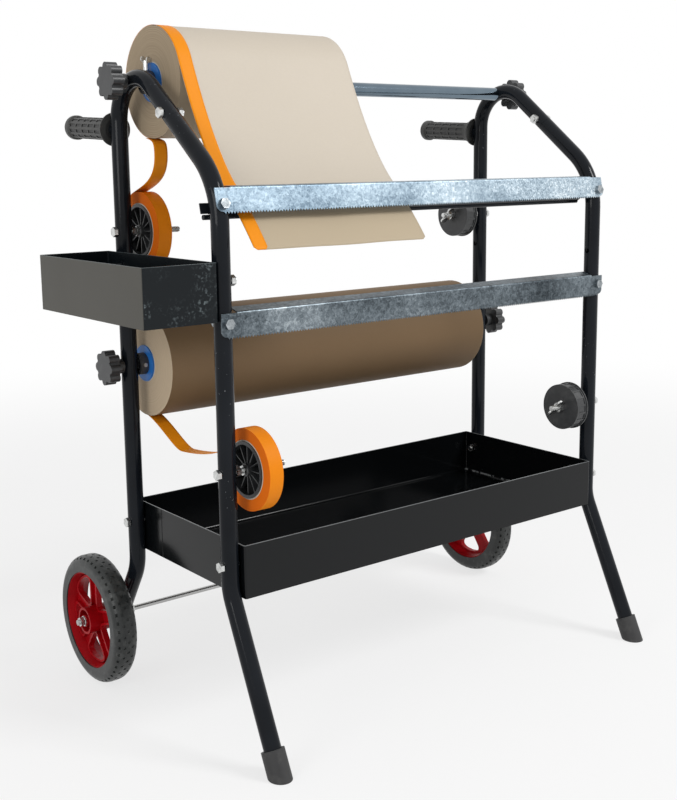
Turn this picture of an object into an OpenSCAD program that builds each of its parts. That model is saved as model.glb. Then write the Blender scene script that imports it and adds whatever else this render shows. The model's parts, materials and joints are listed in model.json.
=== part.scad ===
// Masking paper dispenser: a wheeled tube frame with two paper rolls, each fed together with its own
// masking tape, two serrated cutter bars, a main tray and a side tool box.
// It is laid out with X = 0 midway between the side frames, Y = 0 at the rear uprights and Z = 0 at
// the floor. The front faces -Y. place() then moves the origin to the middle of the finished base.

/* [Side frames] */
// Frame width left free beside the lower roll, between the tube axes
roll_room = 96.2; // [60:0.1:140]
// Distance between the front and rear uprights
frame_d = 265.8; // [250:0.1:320]
// Outer diameter of the frame tubes
tube_d = 25; // [22:0.5:28]
// Wall of the frame tubes
tube_wall = 1.5; // [1:0.1:2.5]
// Height of the centre of the arch
arch_z = 867; // [840:1:930]
// Centreline radius of the arch
arch_r = 60; // [52:1:72]
// Fall of the sloped run behind the cutter bar
slope_deg = 38; // [34:1:42]
// Centreline radius of the front shoulder
shoulder_r = 110; // [90:1:125]
// Length of the sloped run that belongs to the rear tube
sleeve_run = 78; // [60:1:85]
// Length of the front tube's narrowed end inside the sleeve
swage_l = 40; // [30:1:50]
// Height where the front leg starts to lean
leg_z = 231; // [190:1:236]
// How far the foot stands in front of the front upright
foot_reach = 110; // [70:1:130]
// Height where the rear tube bends back to the axle
rear_bend_z = 195; // [175:1:210]
// How far the axle lies behind the rear upright
axle_back = 60.4; // [45:0.1:75]
// Centreline radius of the bends above the foot and the axle
leg_bend_r = 70; // [55:1:90]
// Length of the rear tube below the axle
tail_l = 16; // [12:1:22]

/* [Feet and handle grips] */
// Outer diameter of the rubber ferrule
ferrule_d = 33; // [30:0.5:40]
// Length of the ferrule up the leg
ferrule_l = 38; // [28:1:50]
// Rubber under the end of the leg, along the leg
foot_sole = 13; // [10:1:20]
// Height of the handle stub on the rear upright
handle_z = 858; // [790:1:862]
// Rise of the handle to the rear
handle_tilt = 3; // [0:1:8]
// Outer diameter of the rubber grip
grip_d = 32.5; // [31:0.5:36]
// Length of the grip
grip_l = 134; // [100:1:150]
// Diameter of the grip's flange
flange_d = 49; // [42:1:54]
// Thickness of the rubber at the grip's closed end
flange_t = 6; // [4:0.5:9]
// Rows of sunk pads round the grip
pad_rows = 12; // [8:1:14]

/* [Wheels] */
// Diameter of the tyre
wheel_d = 203; // [180:1:215]
// Width of the tyre
tyre_w = 38; // [34:1:42]
// Rounding of the tyre's shoulders
tyre_crown = 14; // [6:1:16]
// Diameter of the rim under the tyre
rim_d = 152; // [140:1:156]
// Width of the rim
rim_w = 34; // [30:1:34]
// Distance from the side frame to the middle of the wheel
wheel_out = 42; // [41:0.1:50]
// Outer diameter of the hub tube
wheel_hub_d = 42; // [38:1:46]
// Wall of the rim's mouldings
rim_wall = 3.5; // [2.5:0.5:5]
// Spokes in the rim
spokes = 5; // [4:1:6]
// Width of a spoke between its two raised edges
spoke_w = 15; // [10:1:18]
// Blocks round the tread
tread_blocks = 36; // [24:1:40]
// Notches round each shoulder of the tyre
shoulder_notches = 48; // [30:1:54]
// Axle diameter
axle_d = 8; // [7:0.5:9]

/* [Roll shafts] */
// Shaft diameter
shaft_d = 22; // [20:0.5:24]
// Shaft wall
shaft_wall = 1.5; // [1:0.1:2]
// Place of the upper shaft on the arch, in degrees from the rear upright
shaft_arc = 75.8; // [65:0.1:88]
// Distance of the upper shaft inside the arch's centreline
shaft_inset = 2; // [0:0.5:4]
// Height of the lower shaft
lower_shaft_z = 510.4; // [495:0.1:525]
// Collar diameter
collar_d = 33; // [31:0.5:40]
// Collar length
collar_l = 12; // [10:0.5:14]
// Star knob diameter
knob_d = 52; // [44:1:60]
// Thickness of the knob's head
knob_t = 17; // [13:1:20]
// Length of the knob's neck
knob_neck = 13; // [9:1:16]

/* [Paper rolls] */
// Diameter of the upper roll
upper_roll_d = 157.2; // [130:0.1:164]
// Width of the upper roll
upper_roll_w = 300; // [200:1:320]
// Gap between the left side frame's axis and the upper roll
upper_roll_in = 31.4; // [30:0.1:40]
// Diameter of the lower roll
lower_roll_d = 161.6; // [130:0.1:164]
// Width of the lower roll
lower_roll_w = 639; // [600:1:640]
// Outer diameter of the cardboard core
core_d = 57; // [55:0.5:62]
// Wall of the cardboard core
core_wall = 3; // [2:0.25:4]
// Thickness of the paper web and of the tape strips
sheet_t = 0.5; // [0.4:0.05:0.8]

/* [Tape reels] */
// Outer diameter of the masking tape roll
tape_d = 115; // [95:1:118]
// Width of the masking tape
tape_w = 22; // [18:0.5:24]
// Inner diameter of the tape's cardboard core
tape_core_d = 76.4; // [74:0.2:80]
// Wall of the tape's cardboard core
tape_core_wall = 3; // [2:0.25:4]
// Height of the upper reels, on the rear uprights
upper_reel_z = 710.4; // [700:0.1:712]
// Height of the lower reels, on the front uprights
lower_reel_z = 396.3; // [385:0.1:400]
// Distance from the frame tube to the upper left hub
upper_left_gap = 12.1; // [11.5:0.1:24]
// Distance from the frame tube to the lower left hub
lower_left_gap = 16.1; // [11.5:0.1:24]
// Distance from the frame tube to the right hubs
right_gap = 33.1; // [16:0.1:40]
// Ribs inside a hub
hub_ribs = 12; // [8:1:14]
// Shallow pockets round a hub's barrel
hub_pockets = 18; // [12:1:18]

/* [Sheet metal] */
// Steel thickness of the cutter bars
bar_t = 1.5; // [1:0.1:2]
// How far a cutter bar reaches past the tube axis at each end
bar_over = 10.9; // [10.5:0.1:17]
// Height of a cutter bar's face
bar_h = 34.2; // [32:0.1:40]
// Depth of the cutter bar's top flange
bar_flange = 20; // [14:0.5:22]
// Pitch of the teeth
tooth_pitch = 4.7; // [4:0.1:6]
// Height of the teeth
tooth_h = 3; // [2:0.1:4]
// Height of the lower cutter bar's lower edge
lower_bar_z = 580.2; // [560:0.1:590]
// Backward lean of the upper cutter bar
upper_bar_tilt = 13; // [8:1:20]
// Thickness of the tray's steel
tray_t = 1.2; // [0.8:0.1:2]
// Height of the tray's floor above the ground
tray_z = 220; // [214:1:222]
// Height of the tray's walls
tray_h = 76.2; // [65:0.1:84]
// How far the tray reaches beyond the uprights, front and rear
tray_over = 18.5; // [15:0.5:25]
// Height of the tray bolts
tray_bolt_z = 267; // [255:1:275]
// Width of the tool box
box_w = 109.7; // [80:0.1:130]
// Height of the tool box
box_h = 78.4; // [60:0.1:90]
// Height of the tool box's floor above the ground
box_z = 603.4; // [598:0.1:615]
// How far the tool box reaches in front of the front upright
box_front = 10.6; // [8:0.1:20]
// How far the tool box reaches behind the rear upright
box_rear = 26.8; // [15:0.1:40]
// Height of the bolt holes for the tool box
box_bolt_z = 656; // [640:1:665]
// Radius of the guide bar's rolled lip
lip_r = 3.5; // [3:0.25:5]

/* [Hidden] */
$fn = 48;
fit = 0.05;
seat = 0.3;
play = 0.2;
lap = 0.5;
draw_in = 0.1;
bolt_d = 8;
bolt_af = 13;
head_h = 5.3;
nut_h = 6.5;
thin_nut_h = 4;
screw_d = 6;
washer_d = 16;
washer_t = 1.6;
frame_w = lower_roll_w + roll_room;
half_w = frame_w / 2;
tube_r = tube_d / 2;
inner_x = half_w - tube_r;
outer_x = half_w + tube_r;
hole_d = bolt_d + 2 * play;
axle_z = wheel_d / 2;
sin_s = sin(slope_deg);
cos_s = cos(slope_deg);

arch_c = [-arch_r, arch_z];
shoulder_y = shoulder_r - frame_d;
shoulder_rise = arch_r * (1 + sin_s) - shoulder_r * (1 - sin_s) - frame_d * sin_s;
shoulder_c = [shoulder_y, arch_z + shoulder_rise / cos_s];
slope_top = arch_c + arch_r * [-sin_s, cos_s];
slope_end = shoulder_c + shoulder_r * [-sin_s, cos_s];
downhill = [-cos_s, -sin_s];
seam = slope_top + sleeve_run * downhill;

leg_lean = atan2(foot_reach, leg_z);
leg_tan = leg_bend_r * tan(leg_lean / 2);
leg_c = [-frame_d - leg_bend_r, leg_z + leg_tan];
leg_dir = [-sin(leg_lean), -cos(leg_lean)];
leg_top = [-frame_d, leg_z] + leg_tan * leg_dir;
foot_p = [-frame_d - foot_reach, 0];
leg_end = foot_p - foot_sole * leg_dir;

tail_lean = atan2(axle_back, rear_bend_z - axle_z);
tail_tan = leg_bend_r * tan(tail_lean / 2);
tail_c = [leg_bend_r, rear_bend_z + tail_tan];
tail_dir = [sin(tail_lean), -cos(tail_lean)];
tail_top = [0, rear_bend_z] + tail_tan * tail_dir;
axle_p = [axle_back, axle_z];
tail_end = axle_p + tail_l * tail_dir;

upper_shaft_p = arch_c + (arch_r - shaft_inset) * [cos(shaft_arc), sin(shaft_arc)];
lower_shaft_p = [0, lower_shaft_z];
upper_reel_p = [0, upper_reel_z];
lower_reel_p = [-frame_d, lower_reel_z];
sleeve_bolt_p = seam - 16 * downhill;
handle_dir = [cos(handle_tilt), sin(handle_tilt)];

upper_roll_x = -half_w + upper_roll_in;
plug_flange = 2.5;
collar_gap = plug_flange + seat;
lower_roll_x = -inner_x + fit + collar_l + collar_gap;
shaft_l = 2 * (inner_x - seat);
up = 0;
forward = 90;
upper_left_collar_x = upper_roll_x - collar_gap - collar_l;
upper_right_collar_x = upper_roll_x + upper_roll_w + collar_gap;
lower_left_collar_x = lower_roll_x - collar_gap - collar_l;
lower_right_collar_x = lower_roll_x + lower_roll_w + collar_gap;
plug_d = shaft_d - 2 * shaft_wall - 2 * fit;
plug_l = 30;

bar_l = frame_w + 2 * bar_over;
bend_r = 1.5;
bar_rise = 15;
lower_bar_hole = 20.5;
upper_bar_hole = 13;
bar_corner = 8;
bar_tab = 25;
lower_bar_p = [-frame_d - tube_r, lower_bar_z];
upper_bar_n = [-cos(upper_bar_tilt), sin(upper_bar_tilt)];
upper_bar_up = [sin(upper_bar_tilt), cos(upper_bar_tilt)];
upper_bar_p = shoulder_c + (shoulder_r + tube_r) * upper_bar_n - upper_bar_hole * upper_bar_up;
upper_bolt_p = shoulder_c + (shoulder_r + tube_r) * upper_bar_n;
guide_back_p = shoulder_c + (shoulder_r - tube_r) * upper_bar_n;
guide_t = 2;
guide_tab = 42;
lip_in = [10.2, -10.1];

hub_r = tape_core_d / 2 - play;
hub_lip = 2;
hub_l = tape_w + hub_lip;
hub_pocket_w = 2 * hub_r * sin(180 / hub_pockets) - 3;
stud_end = inner_x - right_gap - hub_l - 23.5;

wheel_x = half_w + wheel_out;
hub_out = 24;
axle_half = wheel_x + hub_out + 12.4;
tread_row = 7;

web_off = 156.4;
web_on = -78;
web_mid = [-228, 774];
web_mid_dir = [-0.755, -0.656];
web_end = [-298, 696];
web_end_dir = [-0.6, -0.8];
strip_reel = 66;
strip_loop = [-7, -101];
strip_low = -80;
strip_low_reel = 25;
upper_roll_r = upper_roll_d / 2;
lower_roll_r = lower_roll_d / 2;
web_r = upper_roll_r + seat + sheet_t / 2;
web_leaves = on_circle(upper_shaft_p, web_r, web_off);
web_free = concat(
    spline(web_leaves, [-sin(web_off), cos(web_off)], 39.9, web_mid, web_mid_dir, 69.5, 16),
    [for (i = [1:14]) curve_at([web_mid, web_mid + 24.7 * web_mid_dir,
        web_end - 33.5 * web_end_dir, web_end], i / 14)]);
web_path = concat(arc(upper_shaft_p, web_r, web_on, web_off - 4, 60), web_free);

left_reach = outer_x + 2 * fit + seat + box_w;
front_reach = frame_d + foot_reach + ferrule_d / 2 / cos(leg_lean);
rear_reach = axle_back + wheel_d / 2;

// Moves the origin to the middle of the base
module place() {
    translate([(left_reach - axle_half) / 2, (front_reach - rear_reach) / 2, 0])
        children();
}

// The left side is the right side's mirror image
module left() {
    mirror([1, 0, 0])
        children();
}

module both_sides() {
    children();
    left()
        children();
}

// Draws a flat outline of [y, z] points and thickens it along +X from x
module side(x = 0) {
    translate([x, 0, 0])
        rotate([90, 0, 90])
            children();
}

// Puts something drawn along +Z on an axis along +X through the point p = [y, z]
module along_x(x, p) {
    translate([x, p[0], p[1]])
        rotate([0, 90, 0])
            children();
}

module ring(d_out, d_in, l) {
    difference() {
        cylinder(h = l, d = d_out);
        translate([0, 0, -1])
            cylinder(h = l + 2, d = d_in);
    }
}

// Straight run of bar between two [y, z] points, reaching before and after them
module run(a, b, d, before = 0, after = 0) {
    v = b - a;
    side()
        translate(a)
            rotate([0, 0, atan2(v[1], v[0])])
                rotate([0, 90, 0])
                    translate([0, 0, -before])
                        cylinder(h = norm(v) + before + after, d = d);
}

// Bend of a bar about the [y, z] point c, drawn in a hair where the straight runs lap over it
module bend(c, r, from, to, d) {
    side()
        translate(c)
            rotate([0, 0, from])
                rotate_extrude(angle = to - from, $fn = 96)
                    translate([r, 0])
                        circle(d = d - draw_in);
}

module rear_route(d, extra) {
    run(tail_end, tail_top, d, extra, lap);
    bend(tail_c, leg_bend_r, 180, 180 + tail_lean, d);
    run([0, rear_bend_z + tail_tan], [0, arch_z], d, lap, lap);
    bend(arch_c, arch_r, 0, 90 + slope_deg, d);
    run(slope_top, seam, d, lap, extra);
}

module front_route(d, extra) {
    run(leg_end, leg_top, d, extra, lap);
    bend(leg_c, leg_bend_r, -leg_lean, 0, d);
    run([-frame_d, leg_z + leg_tan], [-frame_d, shoulder_c[1]], d, lap, lap);
    bend(shoulder_c, shoulder_r, 90 + slope_deg, 180, d);
}

// Hole through both walls of a frame tube, along X
module cross_hole(p, d) {
    along_x(half_w - tube_d, p)
        cylinder(h = 2 * tube_d, d = d);
}

// Front to back hole through a front tube, square to the cutter bar
module bar_hole(p, n) {
    side(half_w)
        translate(p)
            rotate([0, 0, atan2(n[1], n[0])])
                rotate([0, 90, 0])
                    translate([0, 0, -2 * tube_d])
                        cylinder(h = 3 * tube_d, d = hole_d);
}

module rear_tube() {
    stub_end = [0, handle_z] + (tube_r + grip_l - flange_t) * handle_dir;
    color([0.06, 0.06, 0.08])
        difference() {
            translate([half_w, 0, 0])
                union() {
                    rear_route(tube_d, 0);
                    run([0, handle_z], stub_end, tube_d - 3);
                }
            translate([half_w, 0, 0])
                rear_route(tube_d - 2 * tube_wall, 1);
            translate([half_w, 0, 0])
                run([0, handle_z], stub_end + handle_dir, tube_d - 3 - 2 * tube_wall);
            cross_hole(axle_p, axle_d + 2 * play);
            cross_hole([0, tray_bolt_z], hole_d);
            cross_hole([0, box_bolt_z], hole_d);
            cross_hole(upper_reel_p, hole_d);
            cross_hole(lower_shaft_p, hole_d);
            cross_hole(upper_shaft_p, hole_d);
            cross_hole(sleeve_bolt_p, hole_d);
        }
}

module front_tube() {
    swage_d = tube_d - 2 * tube_wall - 2 * fit;
    start = seam + seat * downhill;
    color([0.06, 0.06, 0.08])
        difference() {
            translate([half_w, 0, 0])
                union() {
                    front_route(tube_d, 0);
                    run(slope_end, start, tube_d, lap);
                    run(start, start - swage_l * downhill, swage_d, 5);
                }
            translate([half_w, 0, 0])
                union() {
                    front_route(tube_d - 2 * tube_wall, 1);
                    run(slope_end, start + 3 * downhill, tube_d - 2 * tube_wall, lap);
                    run(slope_end, start - swage_l * downhill, swage_d - 2 * tube_wall, lap, 1);
                }
            cross_hole([-frame_d, tray_bolt_z], hole_d);
            cross_hole([-frame_d, box_bolt_z], hole_d);
            cross_hole(lower_reel_p, hole_d);
            cross_hole(sleeve_bolt_p, hole_d);
            bar_hole([-frame_d, lower_bar_z + lower_bar_hole], [-1, 0]);
            bar_hole(shoulder_c + shoulder_r * upper_bar_n, upper_bar_n);
        }
}

module foot() {
    color([0.05, 0.05, 0.05])
        translate([half_w, 0, 0])
            difference() {
                run(foot_p + ferrule_d * leg_dir, foot_p - ferrule_l * leg_dir, ferrule_d);
                run(leg_end, foot_p - (ferrule_l + 1) * leg_dir, tube_d + 2 * fit);
                translate([-ferrule_d, foot_p[0] - 2 * ferrule_d, -2 * ferrule_d])
                    cube([2 * ferrule_d, 4 * ferrule_d, 2 * ferrule_d]);
            }
}

// Half outline of the grip as [radius, length] points: bell, neck ring, body and rounded end bulge
function grip_outline(r, big) = concat(
    [[0, 0], [big, 0], [big, 2.5]],
    [for (a = [15:15:90]) [big - (big - r - 1.5) * sin(a), 2.5 + 12 * (1 - cos(a))]],
    [[r + 1.5, 17], [r, 18], [r, grip_l - 13], [r + 2.2, grip_l - 11]],
    [for (a = [0:15:75]) [r + 2.2 - 4 + 4 * cos(a), grip_l - 4 + 4 * sin(a)]],
    [[r - 1.8, grip_l], [0, grip_l]]);

module grip() {
    start = [0, handle_z] + (tube_r + seat) * handle_dir;
    pads = 5;
    first = 20;
    pitch = (grip_l - 13 - first) / pads;
    color([0.04, 0.04, 0.04])
        side(half_w)
            translate(start)
                rotate([0, 90, handle_tilt])
                    difference() {
                        rotate_extrude()
                            polygon(grip_outline(grip_d / 2, flange_d / 2));
                        for (i = [0:pads - 1], j = [0:pad_rows - 1])
                            rotate((j + 0.5) * 360 / pad_rows)
                                translate([grip_d / 2 - 1.1, -grip_d / 14, first + i * pitch])
                                    cube([4, grip_d / 7, pitch - 3]);
                        translate([0, 0, -1])
                            cylinder(h = grip_l - flange_t + 1, d = tube_d - 3 + 2 * fit);
                    }
}

// Open sheet-metal pan with its floor at z
module pan(x0, x1, y0, y1, z, h, t, r) {
    difference() {
        translate([x0, y0, z])
            rounded_block(x1 - x0, y1 - y0, h, r);
        translate([x0 + t, y0 + t, z + t])
            rounded_block(x1 - x0 - 2 * t, y1 - y0 - 2 * t, h, r - t);
    }
}

module rounded_block(w, d, h, r) {
    translate([r, 0, 0])
        cube([w - 2 * r, d, h]);
    translate([0, r, 0])
        cube([w, d - 2 * r, h]);
    for (x = [r, w - r], y = [r, d - r])
        translate([x, y, 0])
            cylinder(h = h, r = r);
}

module main_tray() {
    x = inner_x - fit;
    color([0.03, 0.03, 0.03])
        difference() {
            pan(-x, x, -frame_d - tray_over, tray_over, tray_z, tray_h, tray_t, 3);
            for (s = [-1, 1], y = [-frame_d, 0])
                translate([s * x, y, tray_bolt_z])
                    rotate([0, 90, 0])
                        cylinder(h = 10, d = hole_d, center = true);
        }
}

module tool_box() {
    x = -outer_x - 2 * fit - seat;
    color([0.16, 0.16, 0.17])
        difference() {
            pan(x - box_w, x, -frame_d - box_front, box_rear, box_z, box_h, tray_t, 3);
            for (y = [-frame_d, 0])
                translate([x, y, box_bolt_z])
                    rotate([0, 90, 0])
                        cylinder(h = 10, d = hole_d, center = true);
        }
}

// Face of a cutter bar: teeth along the lower edge, round lower corners, end tabs up to bar_h
function bar_face(mid_top) =
    let (half = bar_l / 2, run_l = bar_l - 2 * bar_corner, n = floor(run_l / tooth_pitch))
    let (x0 = -n * tooth_pitch / 2)
    concat(
        [for (i = [0:n - 1]) each [[x0 + i * tooth_pitch, tooth_h], [x0 + (i + 0.5) * tooth_pitch, 0]]],
        [[x0 + n * tooth_pitch, tooth_h]],
        [for (a = [-75:15:0]) [half - bar_corner + bar_corner * cos(a),
            tooth_h + bar_corner + bar_corner * sin(a)]],
        [[half, bar_h], [half - bar_tab, bar_h], [half - bar_tab, mid_top],
            [bar_tab - half, mid_top], [bar_tab - half, bar_h], [-half, bar_h]],
        [for (a = [180:15:255]) [-half + bar_corner + bar_corner * cos(a),
            tooth_h + bar_corner + bar_corner * sin(a)]]);

// Cutter bar whose back lies on the uprights: p = [y, z] of the back's lower edge
module cutter_bar(p, tilt, hole) {
    outer = bend_r + bar_t;
    mid_top = bar_h + 2 - outer;
    flange_x = bar_l / 2 - bar_tab;
    color([0.62, 0.64, 0.66])
        translate([0, p[0], p[1]])
            rotate([-tilt, 0, 0])
                difference() {
                    union() {
                        rotate([90, 0, 0])
                            linear_extrude(height = bar_t)
                                polygon(bar_face(mid_top));
                        translate([0, bend_r, mid_top])
                            bar_flange_section(flange_x, outer);
                    }
                    for (s = [-1, 1])
                        translate([s * half_w, 5, hole])
                            rotate([90, 0, 0])
                                cylinder(h = 10, d = hole_d);
                }
}

// Bent top of a cutter bar, about the bend's centre
module bar_flange_section(flange_x, outer) {
    side(-flange_x)
        linear_extrude(height = 2 * flange_x) {
            difference() {
                circle(r = outer);
                circle(r = bend_r);
                translate([-2 * outer, -2 * outer])
                    square([4 * outer, 2 * outer]);
                rotate(bar_rise)
                    translate([0, -2 * outer])
                        square([2 * outer, 4 * outer]);
            }
            rotate(bar_rise)
                translate([0, bend_r])
                    square([bar_flange - outer, bar_t]);
        }
}

module upper_cutter_bar() {
    cutter_bar(upper_bar_p, upper_bar_tilt, upper_bar_hole);
}

module lower_cutter_bar() {
    cutter_bar(lower_bar_p, 0, lower_bar_hole);
}

// Strip behind the front uprights whose lower edge is rolled into a lip; the web runs over it.
// Its sections are drawn about the rear of the upright, in the plane of the upper cutter bar.
module guide_section(x, l) {
    side(x)
        linear_extrude(height = l)
            translate(guide_back_p)
                rotate(-upper_bar_tilt)
                    children();
}

module paper_guide_bar() {
    strip_x = inner_x - 1.5;
    tab_x = outer_x + 7;
    top = [seat + guide_t / 2, -6];
    strip_v = top - lip_in;
    color([0.05, 0.05, 0.06])
        difference() {
            union() {
                guide_section(1 - outer_x, outer_x + strip_x - 3)
                    translate(lip_in)
                        circle(r = lip_r);
                guide_section(-strip_x, 2 * strip_x)
                    translate(lip_in)
                        rotate(atan2(strip_v[1], strip_v[0]))
                            translate([0, -guide_t / 2])
                                square([norm(strip_v), guide_t]);
                for (x = [-tab_x, tab_x - guide_tab])
                    guide_section(x, guide_tab)
                        translate([seat, -7])
                            square([guide_t, 14]);
            }
            both_sides()
                bar_hole(shoulder_c + shoulder_r * upper_bar_n, upper_bar_n);
        }
}

module shaft(p) {
    color([0.75, 0.76, 0.78])
        along_x(-shaft_l / 2, p)
            ring(shaft_d, shaft_d - 2 * shaft_wall, shaft_l);
}

module shaft_end_plugs() {
    color([0.6, 0.6, 0.62])
        both_sides()
            for (p = [upper_shaft_p, lower_shaft_p])
                along_x(shaft_l / 2 - plug_l, p)
                    ring(plug_d, bolt_d + 2 * fit, plug_l);
}

module axle() {
    color([0.7, 0.7, 0.72])
        along_x(-axle_half, axle_p)
            cylinder(h = 2 * axle_half, d = axle_d);
}

module nut(h = nut_h) {
    difference() {
        cylinder(h = h, d = bolt_af / cos(30), $fn = 6);
        translate([0, 0, -1])
            cylinder(h = h + 2, d = bolt_d + 2 * fit);
    }
}

module washer() {
    ring(washer_d, bolt_d + 2 * fit, washer_t);
}

// Hexagon bolt along +Z: shank from 0 to l, head below 0
module bolt(l) {
    cylinder(h = l, d = bolt_d);
    translate([0, 0, -head_h])
        cylinder(h = head_h, d = bolt_af / cos(30), $fn = 6);
}

module axle_nuts() {
    color([0.7, 0.7, 0.68])
        both_sides() {
            along_x(outer_x, axle_p)
                nut();
            along_x(inner_x - nut_h, axle_p)
                nut();
            along_x(wheel_x + hub_out + seat, axle_p) {
                washer();
                translate([0, 0, washer_t])
                    nut();
            }
        }
}

// Bolt along X through an upright, head outside, with its nut at nut_x on the inner side
module upright_bolt(p, nut_x) {
    along_x(outer_x, p)
        mirror([0, 0, 1])
            bolt(outer_x - nut_x + nut_h + 2);
    along_x(nut_x - nut_h, p)
        nut();
}

module frame_joint_bolts() {
    color([0.7, 0.7, 0.68])
        both_sides()
            upright_bolt(sleeve_bolt_p, inner_x);
}

module tray_and_box_bolts() {
    box_in = outer_x + 2 * fit + seat + tray_t;
    color([0.7, 0.7, 0.68]) {
        both_sides()
            for (y = [-frame_d, 0])
                upright_bolt([y, tray_bolt_z], inner_x - fit - tray_t);
        left()
            for (y = [-frame_d, 0]) {
                along_x(box_in, [y, box_bolt_z])
                    mirror([0, 0, 1])
                        bolt(box_in - inner_x + nut_h + 2);
                along_x(inner_x - nut_h, [y, box_bolt_z])
                    nut();
            }
    }
}

// Bolt from the front through bar and upright: p = [y, z] on the bar's front, n points forward
module front_bolt(p, n, grip_len) {
    side(half_w)
        translate(p)
            rotate([0, 0, atan2(-n[1], -n[0])])
                rotate([0, 90, 0]) {
                    bolt(grip_len + nut_h + 2);
                    translate([0, 0, grip_len])
                        nut();
                }
}

module cutter_bar_bolts() {
    color([0.72, 0.72, 0.7])
        both_sides() {
            front_bolt([-frame_d - tube_r - bar_t, lower_bar_z + lower_bar_hole], [-1, 0],
                bar_t + tube_d);
            front_bolt(upper_bolt_p + bar_t * upper_bar_n, upper_bar_n,
                bar_t + tube_d + seat + guide_t);
        }
}

module hub_bolts() {
    color([0.72, 0.72, 0.7])
        both_sides()
            for (p = [upper_reel_p, lower_reel_p])
                along_x(outer_x, p)
                    mirror([0, 0, 1])
                        bolt(outer_x - stud_end);
}

// One nut clamps the bolt to the upright, the other locks behind the hub
module lock_nuts(p, gap) {
    along_x(inner_x - nut_h, p)
        nut();
    along_x(inner_x - gap + fit, p)
        nut(thin_nut_h);
}

module hub_lock_nuts() {
    color([0.72, 0.72, 0.7]) {
        left() {
            lock_nuts(upper_reel_p, upper_left_gap);
            lock_nuts(lower_reel_p, lower_left_gap);
        }
        lock_nuts(upper_reel_p, right_gap);
        lock_nuts(lower_reel_p, right_gap);
    }
}

// Outline between two spokes, with rounded corners; grow is how far it reaches over its own edge
function window_point(t, grow) =
    let (inner = wheel_hub_d / 2 + 3.5 - grow, outer = rim_d / 2 - rim_wall - 6 + grow, power = 0.45)
    let (c = sign(cos(t)) * pow(abs(cos(t)), power), s = sign(sin(t)) * pow(abs(sin(t)), power))
    let (r = (inner + outer) / 2 + (outer - inner) / 2 * s)
    let (a = c * (180 / spokes - asin((spoke_w / 2 + rim_wall - grow) / r)))
    [r * cos(a), r * sin(a)];

module rim_window(grow = 0) {
    polygon([for (t = [0:7.5:352.5]) window_point(t, grow)]);
}

// Moulded rim drawn along +Z, which points away from the frame
module rim_shape() {
    r = rim_d / 2;
    hub = wheel_hub_d / 2;
    edge_h = 9;
    difference() {
        union() {
            rotate_extrude($fn = 96)
                polygon([[r - 1.5, -rim_w / 2], [r, -rim_w / 2], [r, rim_w / 2], [r - 1.5, rim_w / 2],
                    [r - rim_wall - 3, rim_wall / 2], [r - rim_wall - 3, -rim_wall / 2]]);
            translate([0, 0, -rim_wall / 2])
                cylinder(h = rim_wall, r = r - rim_wall / 2);
            for (i = [0:spokes - 1])
                rotate(i * 360 / spokes)
                    translate([0, 0, -rim_wall / 2])
                        linear_extrude(height = edge_h)
                            rim_window(rim_wall);
            translate([0, 0, -rim_w / 2])
                cylinder(h = rim_w / 2 + hub_out, r = hub);
            translate([0, 0, outer_x + nut_h + seat - wheel_x])
                cylinder(h = rim_w / 2, r = 9);
        }
        for (i = [0:spokes - 1])
            rotate(i * 360 / spokes)
                translate([0, 0, -rim_wall])
                    linear_extrude(height = edge_h + rim_wall)
                        rim_window();
        for (z = [[-rim_w / 2 - 1, -rim_wall / 2], [rim_wall / 2, hub_out + 1]])
            translate([0, 0, z[0]])
                ring(2 * (hub - rim_wall), 18, z[1] - z[0]);
        translate([0, 0, -2 * rim_w])
            cylinder(h = 4 * rim_w, d = axle_d + 2 * fit);
    }
}

module wheel_rim() {
    color([0.75, 0.06, 0.12])
        along_x(wheel_x, axle_p)
            rim_shape();
}

module tyre() {
    r = wheel_d / 2;
    color([0.12, 0.12, 0.11])
        along_x(wheel_x, axle_p)
            difference() {
                rotate_extrude($fn = 96)
                    difference() {
                        translate([rim_d / 2 + fit, -tyre_w / 2])
                            square([r - rim_d / 2 - fit, tyre_w]);
                        for (s = [-1, 1])
                            translate([r - tyre_crown, s * (tyre_w / 2 - tyre_crown)])
                                difference() {
                                    translate([0, s > 0 ? 0 : -tyre_crown - 1])
                                        square([tyre_crown + 1, tyre_crown + 1]);
                                    circle(r = tyre_crown);
                                }
                    }
                for (i = [0:tread_blocks - 1], row = [0:2])
                    rotate((i + row / 2) * 360 / tread_blocks)
                        translate([r - 1.2, -2, (row - 1) * tread_row - 2])
                            cube([4, 4, 4]);
                for (i = [0:shoulder_notches - 1], s = [-1, 1])
                    rotate((i + s / 4) * 360 / shoulder_notches)
                        translate([r - 5.5, -2.5, s * (tyre_w / 2 - 3) - 3])
                            cube([10, 5, 6]);
            }
}

module paper_roll(x, p, d, w) {
    color([0.72, 0.62, 0.48])
        along_x(x, p)
            difference() {
                cylinder(h = w, d = d, $fn = 96);
                translate([0, 0, -1])
                    cylinder(h = w + 2, d = core_d + 2 * fit);
            }
}

module roll_core(x, p, w) {
    color([0.8, 0.76, 0.68])
        along_x(x, p)
            ring(core_d, core_d - 2 * core_wall, w);
}

// Plug pushed into the end of a core, drawn along +Z with its flange below 0
module core_plug() {
    barrel = core_d - 2 * core_wall - 2 * fit;
    difference() {
        union() {
            translate([0, 0, fit])
                cylinder(h = 30, d = barrel);
            translate([0, 0, -plug_flange])
                cylinder(h = plug_flange, d = core_d - 2);
            cylinder(h = 2 * fit, d = barrel);
        }
        translate([0, 0, -plug_flange - 1])
            cylinder(h = 40, d = shaft_d + 2 * fit);
        translate([0, 0, 4])
            ring(barrel - 5, shaft_d + 5, 40);
    }
}

module core_plugs(x, p, w) {
    color([0.05, 0.2, 0.65]) {
        along_x(x, p)
            core_plug();
        along_x(x + w, p)
            mirror([0, 0, 1])
                core_plug();
    }
}

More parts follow.
